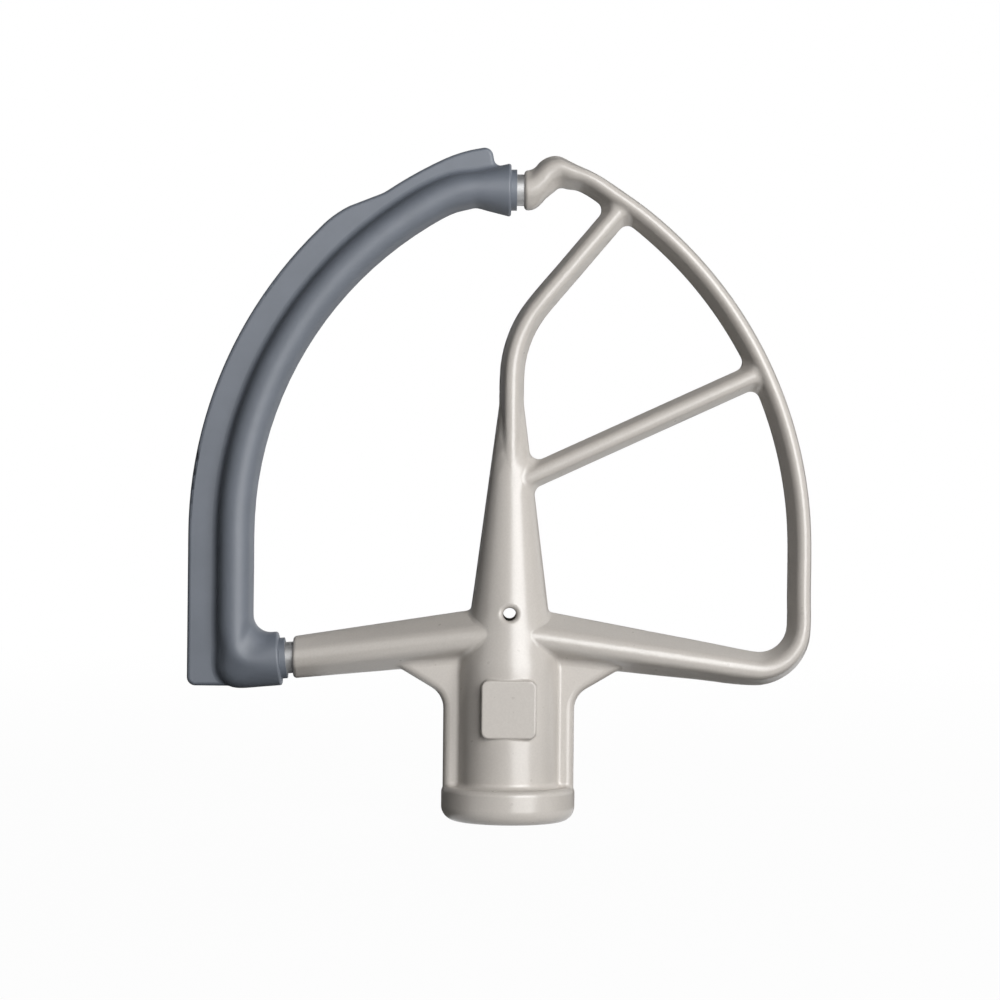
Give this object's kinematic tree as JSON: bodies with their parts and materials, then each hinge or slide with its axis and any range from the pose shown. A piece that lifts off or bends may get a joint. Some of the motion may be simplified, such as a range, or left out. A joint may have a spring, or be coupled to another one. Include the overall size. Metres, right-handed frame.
{
  "type": "stand mixer flat beater",
  "caption": "Coated cast flat beater: socketed hub, tapered stem, slanted struts and a curved rim on one side, a flexible scraper edge moulded along the other.",
  "frame": {"origin": "centre of the hub's open end, where the mixer's shaft enters", "axes": "+Z along the hub and stem away from the mixer, +X towards the bare rim, -X towards the scraper edge, -Y the side with the square pad"},
  "size_m": [0.1309, 0.028, 0.141],
  "materials": {
    "coated_casting": "satin warm silver-grey powder coat, bare at the necks",
    "soft_scraper": "matte blue-grey moulded elastomer"
  },
  "bodies": {
    "root": {"beater_frame": "coated_casting", "scraper_edge": "soft_scraper"}
  },
  "joints": []
}
